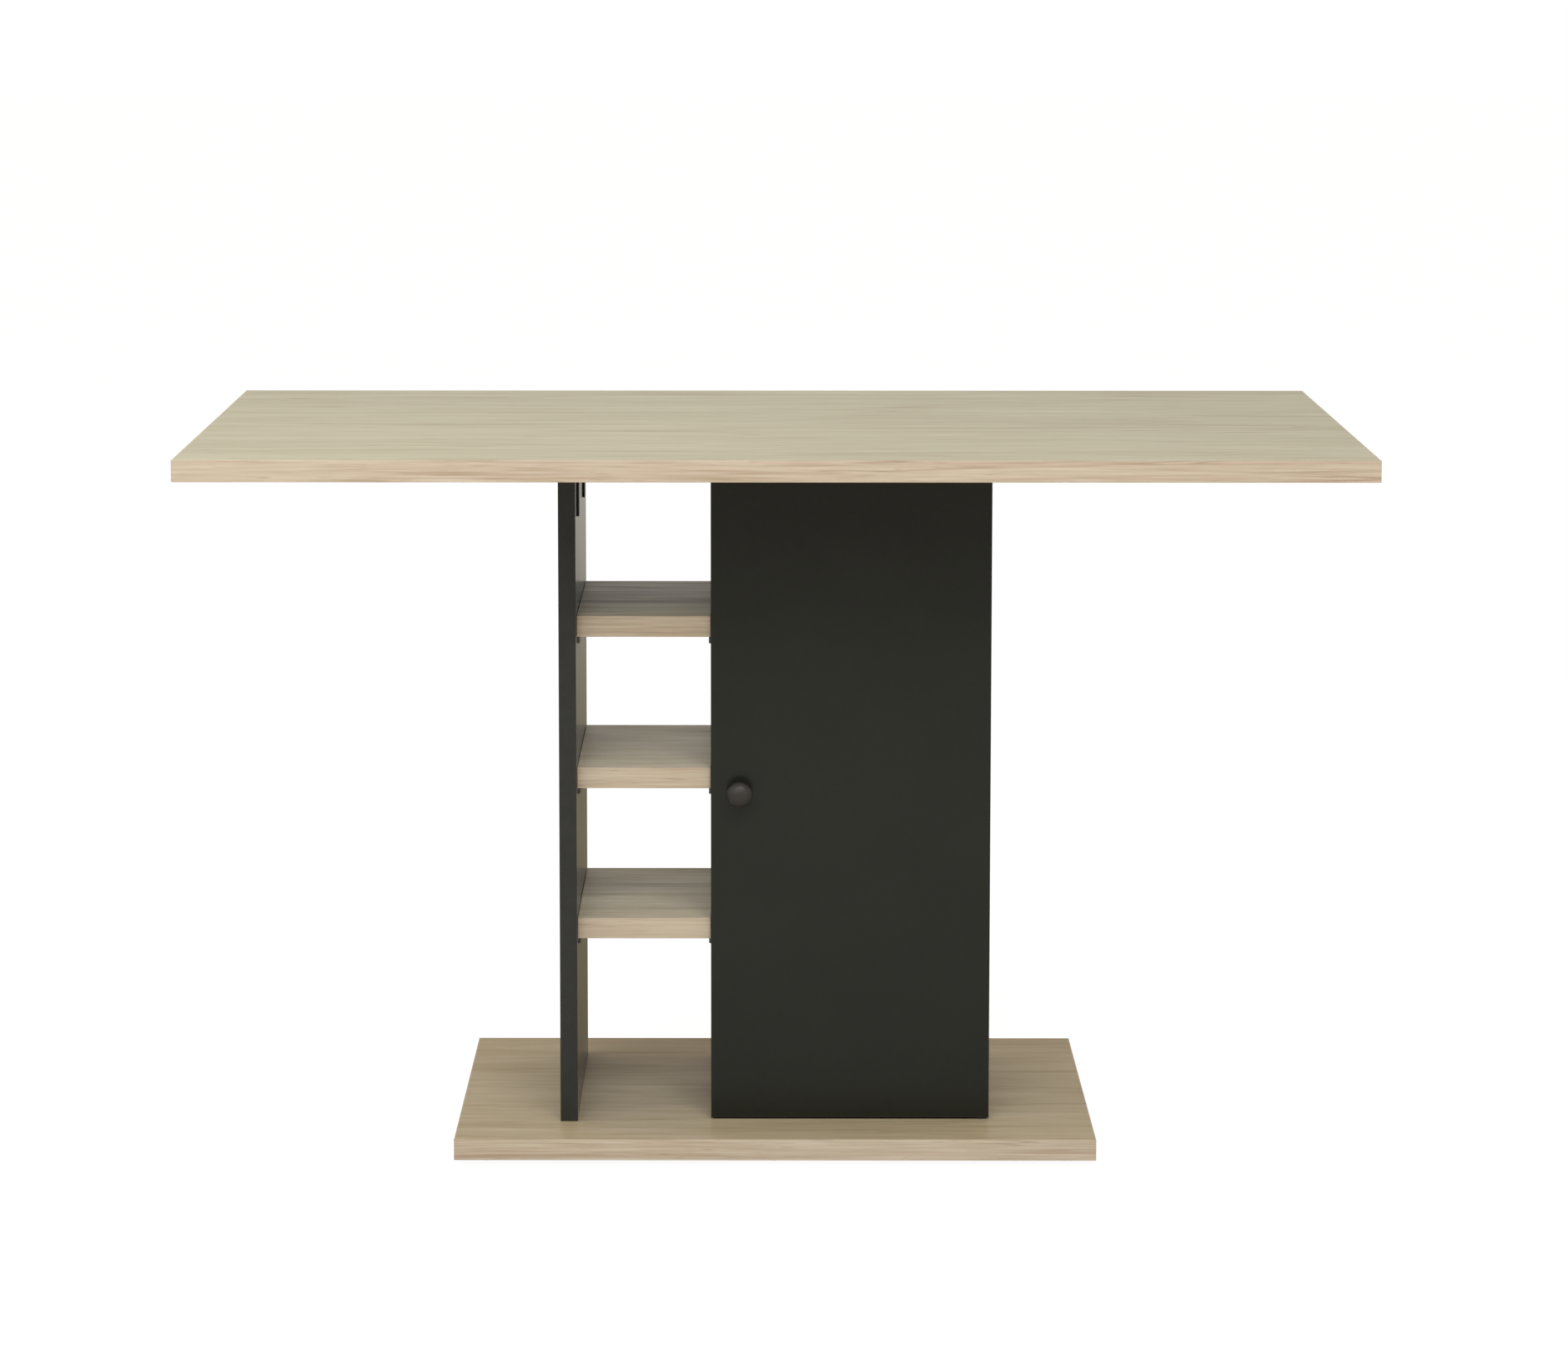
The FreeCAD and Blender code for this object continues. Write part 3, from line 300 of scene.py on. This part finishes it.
def oak(name, colours, marks, specular, on_edge, cut=(0, 0, 0)):
    """Light oak decor under a matt melamine skin, with its grain along the board.

    The cut says how far away in the decor the board is taken from.
    """
    light, middle, dark, line = colours
    material, tree, shader = new_finish(name, OAK_ROUGHNESS, OAK_IOR, specular)
    point = turned_to_edge(tree) if on_edge else place_of(tree)
    point = add(tree, "ShaderNodeVectorMath", {0: point, 1: cut}, operation="ADD").outputs["Vector"]
    figure = grain_noise(tree, point, FIGURE_GRAIN, detail=3, distortion=0.6)
    streaks = grain_noise(tree, point, marks["streak_grain"], detail=5, roughness=0.62, distortion=0.3)
    fibres = grain_noise(tree, point, FIBRE_GRAIN, detail=2)
    dashes = grain_noise(tree, point, marks["dash_grain"], detail=2, distortion=0.5)
    pores = grain_noise(tree, point, PORE_GRAIN, detail=1)
    tone = weighed(tree, (figure, streaks, fibres), marks["tone_shares"])
    half = marks["contrast"] / 2
    tone = spread(tree, tone, MIDWAY - half, MIDWAY + half, 0, 1)
    colour = ramp(tree, tone, [(0, dark), (MIDWAY, middle), (1, light)])
    vein_level = veins(tree, point, marks["vein_grain"], marks["vein_width"])
    colour = mixed(tree, math_node(tree, "MULTIPLY", vein_level, marks["vein_share"]), colour, line)
    colour = mixed(tree, spread(tree, dashes, *DASH_LEVELS, 0, marks["dash_share"]), colour, line)
    pore_share = spread(tree, pores, *PORE_LEVELS, 0, PORE_SHARE)
    colour = mixed(tree, pore_share, colour, line)
    tree.links.new(colour, shader.inputs["Base Color"])
    reach = marks["gloss_range"]
    gloss = spread(tree, streaks, *STREAK_LEVELS, OAK_ROUGHNESS + reach, OAK_ROUGHNESS - reach)
    gloss = math_node(tree, "ADD", gloss, math_node(tree, "MULTIPLY", vein_level, reach))
    tree.links.new(gloss, shader.inputs["Roughness"])
    relief = math_node(
        tree, "SUBTRACT", math_node(tree, "MULTIPLY", fibres, FIBRE_RELIEF_SHARE), pore_share)
    bump(tree, shader, relief, depth=OAK_RELIEF, strength=0.5)
    return material


# Plain finishes with a fine mottle, and beech

MOTTLE_SHARES = (0.55, 0.45)
MOTTLE_LEVELS = (0.36, 0.66)
CLOUD_LEVELS = (0.3, 0.7)
BEECH_SCALE = (500, 500, 60)
BEECH_LEVELS = (0.35, 0.65)
BEECH_RELIEF = 0.05 * MM


def mottled(
        name, main, other, roughness, ior, mottle, relief_scale, relief_depth,
        metallic=0, specular=0.5, gloss_range=0.05):
    """A finish of one colour with a fine mottle, a varying gloss and a slight relief."""
    material, tree, shader = new_finish(name, roughness, ior, specular)
    shader.inputs["Metallic"].default_value = metallic
    point = place_of(tree)
    cloud = noise(tree, point, (mottle, mottle, mottle), detail=4, roughness=0.65)
    grain = noise(tree, point, (relief_scale, relief_scale, relief_scale), detail=2)
    both = weighed(tree, (cloud, grain), MOTTLE_SHARES)
    stops = list(zip(MOTTLE_LEVELS, (main, other)))
    tree.links.new(ramp(tree, both, stops), shader.inputs["Base Color"])
    gloss = spread(tree, cloud, *CLOUD_LEVELS, roughness - gloss_range, roughness + gloss_range)
    tree.links.new(gloss, shader.inputs["Roughness"])
    bump(tree, shader, grain, depth=relief_depth, strength=0.4)
    return material


def beech(name):
    """Turned beech with short flecks along the grain."""
    material, tree, shader = new_finish(name, roughness=0.6, ior=1.45)
    point = place_of(tree)
    flecks = noise(tree, point, BEECH_SCALE, detail=3)
    stops = list(zip(BEECH_LEVELS, (BEECH_DARK, BEECH_LIGHT)))
    tree.links.new(ramp(tree, flecks, stops), shader.inputs["Base Color"])
    bump(tree, shader, flecks, depth=BEECH_RELIEF, strength=0.4)
    return material


FINISHES = {
    "oak_melamine": oak("oak_melamine", BOARD_OAK, BOARD_MARKS, specular=0.2, on_edge=False),
    "oak_edging": oak("oak_edging", EDGE_OAK, EDGE_MARKS, specular=0.25, on_edge=True),
    "dark_melamine": mottled(
        "dark_melamine", ANTHRACITE_DARK, ANTHRACITE, roughness=0.22, ior=1.48,
        mottle=9, relief_scale=900, relief_depth=0.003 * MM, specular=0.27, gloss_range=0.012),
    "dark_edging": mottled(
        "dark_edging", ANTHRACITE_EDGE, ANTHRACITE_LIGHT, roughness=0.42, ior=1.48,
        mottle=60, relief_scale=1300, relief_depth=0.02 * MM, specular=0.2),
    "black_steel": mottled(
        "black_steel", BLACK_COAT, BLACK_COAT_LIGHT, roughness=0.5, ior=1.48,
        mottle=300, relief_scale=1800, relief_depth=0.04 * MM, specular=0.22),
    "zinc_steel": mottled(
        "zinc_steel", ZINC_DARK, ZINC, roughness=0.34, ior=1.5,
        mottle=420, relief_scale=2400, relief_depth=0.01 * MM, metallic=1),
    "black_plastic": mottled(
        "black_plastic", BLACK_PLASTIC, BLACK_PLASTIC_LIGHT, roughness=0.5, ior=1.46,
        mottle=200, relief_scale=2200, relief_depth=0.02 * MM),
    "grey_plastic": mottled(
        "grey_plastic", GREY_PLASTIC, GREY_PLASTIC_LIGHT, roughness=0.48, ior=1.46,
        mottle=260, relief_scale=2200, relief_depth=0.02 * MM),
    "beech": beech("beech"),
    "magnet": mottled(
        "magnet", FERRITE, FERRITE_LIGHT, roughness=0.55, ior=1.5,
        mottle=700, relief_scale=2600, relief_depth=0.02 * MM),
    "knob_finish": mottled(
        "knob_finish", KNOB_LACQUER, KNOB_LACQUER_LIGHT, roughness=0.46, ior=1.48,
        mottle=180, relief_scale=2400, relief_depth=0.006 * MM, specular=0.48),
}

SLOTS = {part["node"]: part["material_slot"] for part in frame["record"]["subparts"]}
for node, thing in frame["nodes"].items():
    thing.data.materials.clear()
    thing.data.materials.append(FINISHES[SLOTS[node]])

# The open shelves and the base board have their own copies of the oak, with a duller skin and with painted
# light: the shelves' copy is lighter against the shade under the tabletop, the base's lighter and warmer;
# the upper shelf is also cut from another part of the decor
SHELF_SPECULAR = 0.18
UPPER_CUT = (0, 0, 0.11)
shelf_oak_painted_light = oak("oak_shelf_painted_light", SHELF_OAK_PAINTED_LIGHT, SHELF_MARKS, SHELF_SPECULAR, on_edge=False)
BOARD_FINISHES_WITH_PAINTED_LIGHT = {
    # The base board's copy holds painted light: lighter and warmer than the board oak
    "base_board": oak("oak_base_painted_light", BASE_OAK_PAINTED_LIGHT, BASE_MARKS, specular=0.06, on_edge=False),
    "upper_open_shelf": oak(
        "oak_upper_shelf_painted_light", SHELF_OAK_PAINTED_LIGHT, UPPER_MARKS, SHELF_SPECULAR, on_edge=False, cut=UPPER_CUT),
    "middle_open_shelf": shelf_oak_painted_light,
    "lower_open_shelf": shelf_oak_painted_light,
}
for node, finish in BOARD_FINISHES_WITH_PAINTED_LIGHT.items():
    frame["nodes"][node].data.materials[0] = finish


# Detailed screws: a cross recess in the head and a thread on the shank

AXES = range(3)
NEAR = 0.01 * MM
SEGMENTS = 24
SHANK = 2 * MM
HEAD = 4 * MM
PAN_TOP = 2.6 * MM
PAN_HEIGHT = 2.2 * MM
PAN_ROUND = 1.4 * MM
PAN_ARC_STEPS = 5
SUNK_DEPTH = 1.4 * MM
SUNK_SEAT = 2.6 * MM
THREAD_PITCH = 1.3 * MM
THREAD_DEPTH = 0.45 * MM
RINGS_PER_TURN = 6
TIP = 3 * MM
RECESS_ARMS = 4
RECESS_REACH = 1.8 * MM
RECESS_HALF = 0.42 * MM
RECESS_DEPTH = 1.2 * MM
RECESS_FLOOR_SHARE = 0.55
SHARP_ANGLE = 38


def islands(mesh):
    """The separate solids of a mesh, each as a list of points."""
    work = bmesh.new()
    work.from_mesh(mesh)
    bmesh.ops.remove_doubles(work, verts=work.verts, dist=NEAR)
    left = set(work.verts)
    found = []
    while left:
        reached = {left.pop()}
        front = list(reached)
        while front:
            for edge in front.pop().link_edges:
                for end in edge.verts:
                    if end in left:
                        left.remove(end)
                        reached.add(end)
                        front.append(end)
        found.append([vert.co.copy() for vert in reached])
    work.free()
    return found


def screw_place(points):
    """The middle of a screw's head, the way it faces, and the screw's length."""
    low = Vector([min(point[axis] for point in points) for axis in AXES])
    high = Vector([max(point[axis] for point in points) for axis in AXES])
    run = max(AXES, key=lambda axis: high[axis] - low[axis])
    middle = (low + high) / 2

    def width_at(end):
        near = [point - middle for point in points if abs(point[run] - end[run]) < NEAR]
        return max(math.hypot(*(spot[axis] for axis in AXES if axis != run)) for spot in near)

    head = max((low, high), key=width_at)
    top = middle.copy()
    top[run] = head[run]
    return top, (top - middle).normalized(), high[run] - low[run]


def pan_head():
    """Radius and height of the rings of a rounded head, from its flat top down to its seat."""
    arc = [step / PAN_ARC_STEPS * math.pi / 2 for step in range(PAN_ARC_STEPS + 1)]
    rounded = [(PAN_TOP + PAN_ROUND * math.sin(turn), PAN_ROUND * (math.cos(turn) - 1)) for turn in arc]
    return rounded + [(HEAD, -PAN_HEIGHT)]


def sunk_head():
    """Radius and height of the rings of a sunk head, from its flat top down to its seat."""
    return [(HEAD, 0), (SUNK_SEAT, -SUNK_DEPTH)]


def add_screw(work, place, head, pointed):
    """Adds one screw to a mesh in the making."""
    top, way, length = place
    turn = Z.rotation_difference(way)

    def vert(x, y, height):
        return work.verts.new(top + turn @ Vector((x, y, height)))

    def ring(radius_at, height):
        made = []
        for step in range(SEGMENTS):
            share = step / SEGMENTS
            radius = radius_at(share)
            angle = share * math.tau
            made.append(vert(radius * math.cos(angle), radius * math.sin(angle), height))
        return made

    def thread(height):
        def radius_at(share):
            phase = (height / THREAD_PITCH + share) % 1
            return SHANK - THREAD_DEPTH * abs(2 * phase - 1)
        return radius_at

    rings = [ring(lambda share, radius=radius: radius, height) for radius, height in head]
    seat = head[-1][1]
    rings.append(ring(lambda share: SHANK - THREAD_DEPTH, seat))
    end = TIP - length if pointed else -length
    steps = math.ceil((seat - end) / THREAD_PITCH * RINGS_PER_TURN)
    rings += [ring(thread(height), height) for height in (
        seat + (end - seat) * step / steps for step in range(1, steps + 1))]
    for upper, lower in zip(rings, rings[1:]):
        for step in range(SEGMENTS):
            work.faces.new((upper[step - 1], lower[step - 1], lower[step], upper[step]))
    if pointed:
        point = vert(0, 0, -length)
        for step in range(SEGMENTS):
            work.faces.new((rings[-1][step - 1], point, rings[-1][step]))
    else:
        work.faces.new(reversed(rings[-1]))

    quarter = [(RECESS_HALF, RECESS_HALF), (RECESS_HALF, RECESS_REACH), (-RECESS_HALF, RECESS_REACH)]
    cross = quarter[:]
    for _ in range(RECESS_ARMS - 1):
        quarter = [(-y, x) for x, y in quarter]
        cross += quarter
    mouth = [vert(x, y, 0) for x, y in cross]
    floor = [vert(x * RECESS_FLOOR_SHARE, y * RECESS_FLOOR_SHARE, -RECESS_DEPTH) for x, y in cross]
    for step in range(len(cross)):
        work.faces.new((mouth[step - 1], mouth[step], floor[step], floor[step - 1]))
    work.faces.new(floor)
    rim = [
        work.edges.get((loop[step - 1], loop[step])) or work.edges.new((loop[step - 1], loop[step]))
        for loop in (rings[0], mouth) for step in range(len(loop))]
    bmesh.ops.triangle_fill(work, use_beauty=True, edges=rim, normal=way)


def detailed_screws(node, body, head, pointed=True):
    """One piece with all the screws of a node, each where the node has it."""
    work = bmesh.new()
    for points in islands(frame["nodes"][node].data):
        add_screw(work, screw_place(points), head, pointed)
    bmesh.ops.recalc_face_normals(work, faces=work.faces)
    mesh = bpy.data.meshes.new(f"{node}_detailed")
    work.to_mesh(mesh)
    work.free()
    mesh.shade_smooth()
    mesh.set_sharp_from_angle(angle=math.radians(SHARP_ANGLE))
    mesh.materials.append(FINISHES[SLOTS[node]])
    piece = bpy.data.objects.new(f"{node}_detailed", mesh)
    bpy.context.scene.collection.objects.link(piece)
    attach(piece, body)
    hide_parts(node)


detailed_screws("bracket_panel_screws", "frame", sunk_head())
detailed_screws("bracket_top_screws", "frame", sunk_head())
detailed_screws("catch_screws", "frame", pan_head())
detailed_screws("knob_screw", "door", pan_head(), pointed=False)


# Stage: a pale floor that fades into a white backdrop

FLOOR_HALF = 30
FLOOR_GLOW = 0.95
FLOOR_SHADE = srgb(110, 110, 110)
FLOOR_BOUNCE = srgb(238, 238, 236)
# Painted shade: the floor as the panels mirror it behind the table is darker and warmer than the floor
# itself
FLOOR_MIRRORED_PAINTED_SHADE = srgb(198, 191, 170)
MIRRORED_GLOW = 0.58

# How far behind the table's middle the mirrored floor starts, and where it grows brighter
MIRRORED_START = 0.2
FADE_START = 2.1
FADE_END = 6.5


def seen_directly(tree, in_reflections):
    """One for what the eye sees, straight or also mirrored or through glass, and zero for other light."""
    path = add(tree, "ShaderNodeLightPath", {})
    if not in_reflections:
        return path.outputs["Is Camera Ray"]
    mirror = math_node(tree, "MAXIMUM", path.outputs["Is Glossy Ray"], path.outputs["Is Transmission Ray"])
    return math_node(tree, "MAXIMUM", path.outputs["Is Camera Ray"], mirror)


def make_floor():
    """The plain pale floor, which keeps a faint shadow of the table.

    As the panels mirror it, the floor behind the table is darker and warm, a painted shade, and grows
    brighter with distance.
    """
    mesh = bpy.data.meshes.new("floor")
    corners = [(sx * FLOOR_HALF, sy * FLOOR_HALF, 0) for sx, sy in ((-1, -1), (1, -1), (1, 1), (-1, 1))]
    mesh.from_pydata(corners, [], [(0, 1, 2, 3)])
    floor = bpy.data.objects.new("floor", mesh)
    bpy.context.scene.collection.objects.link(floor)
    material = bpy.data.materials.new("floor")
    material.use_nodes = True
    tree = material.node_tree
    tree.nodes.clear()
    seen = seen_directly(tree, in_reflections=False)
    depth = add(tree, "ShaderNodeSeparateXYZ", {"Vector": place_of(tree)}).outputs["Y"]
    mirrored = math_node(
        tree, "MULTIPLY", add(tree, "ShaderNodeLightPath", {}).outputs["Is Glossy Ray"],
        math_node(tree, "GREATER_THAN", depth, MIRRORED_START))
    shade = mixed(tree, seen, mixed(tree, mirrored, FLOOR_BOUNCE, FLOOR_MIRRORED_PAINTED_SHADE), FLOOR_SHADE)
    matt = add(tree, "ShaderNodeBsdfDiffuse", {"Color": shade})
    far_off = spread(tree, depth, FADE_START, FADE_END, 0, MIRRORED_GLOW)
    strength = weighed(tree, (seen, math_node(tree, "MULTIPLY", mirrored, far_off)), (FLOOR_GLOW, 1))
    glow = add(tree, "ShaderNodeEmission", {"Color": WHITE, "Strength": strength})
    both = add(tree, "ShaderNodeAddShader", {0: matt.outputs["BSDF"], 1: glow.outputs["Emission"]})
    add(tree, "ShaderNodeOutputMaterial", {"Surface": both.outputs["Shader"]})
    mesh.materials.append(material)


WORLD_FRONT = (0.21, 0.24, 0.235)
WORLD_BACK = (0.63, 0.53, 0.38)


def make_world():
    """An even light from all round, stronger from the back, before a plain white backdrop."""
    world = bpy.data.worlds.new("studio")
    world.use_nodes = True
    tree = world.node_tree
    tree.nodes.clear()
    way = add(tree, "ShaderNodeSeparateXYZ", {
        "Vector": add(tree, "ShaderNodeTexCoord", {}).outputs["Generated"]})
    backward = spread(tree, way.outputs["Y"], -1, 1, 0, 1)
    light = mixed(tree, backward, (*WORLD_FRONT, 1), (*WORLD_BACK, 1))
    colour = mixed(tree, seen_directly(tree, in_reflections=True), light, WHITE)
    glow = add(tree, "ShaderNodeBackground", {"Color": colour})
    add(tree, "ShaderNodeOutputWorld", {"Surface": glow.outputs["Background"]})
    bpy.context.scene.world = world


def softbox(name, spot, size, power):
    """A wide soft lamp at a spot, turned to face the table."""
    lamp = bpy.data.lights.new(name, "AREA")
    lamp.shape = "RECTANGLE"
    lamp.size, lamp.size_y = size
    lamp.energy = power
    holder = bpy.data.objects.new(name, lamp)
    bpy.context.scene.collection.objects.link(holder)
    holder.location = spot
    holder.rotation_mode = "QUATERNION"
    holder.rotation_quaternion = ((cad_low + cad_high) / 2 - Vector(spot)).to_track_quat("-Z", "Y")


# Lamps: spot and size in metres, power in watts
LAMPS = {
    "front_light": ((-0.7, -3.4, 2.7), (2.0, 1.6), 46),
    "right_light": ((0.9, -3.0, 3.4), (1.2, 1.2), 38.5),
    "left_light": ((-1.9, -0.9, 1.9), (1.0, 1.0), 6),
    "overhead_light": ((-1.1, -0.5, 2.5), (1.4, 1.4), 9.7),
}
make_floor()
make_world()
for name, lamp in LAMPS.items():
    softbox(name, *lamp)


# The photograph's view: a long lens a little above the tabletop, with a small fall of the lens

CAMERA_SPOT = (-0.0143, -5.0401, 1.2870)
CAMERA_TURN = 0.223
CAMERA_DIP = 6.903
CAMERA_LENS = 109.4
CAMERA_SENSOR = 36
CAMERA_SHIFT = (0.0261, -0.12)
RIGHT_ANGLE = 90

camera_data = bpy.data.cameras.new("camera")
camera_data.sensor_width = CAMERA_SENSOR
camera_data.lens = CAMERA_LENS
camera_data.shift_x, camera_data.shift_y = CAMERA_SHIFT
camera = bpy.data.objects.new("camera", camera_data)
bpy.context.scene.collection.objects.link(camera)
camera.location = CAMERA_SPOT
camera.rotation_euler = (math.radians(RIGHT_ANGLE - CAMERA_DIP), 0, math.radians(CAMERA_TURN))
bpy.context.scene.camera = camera
bpy.context.scene.view_settings.view_transform = "Standard"
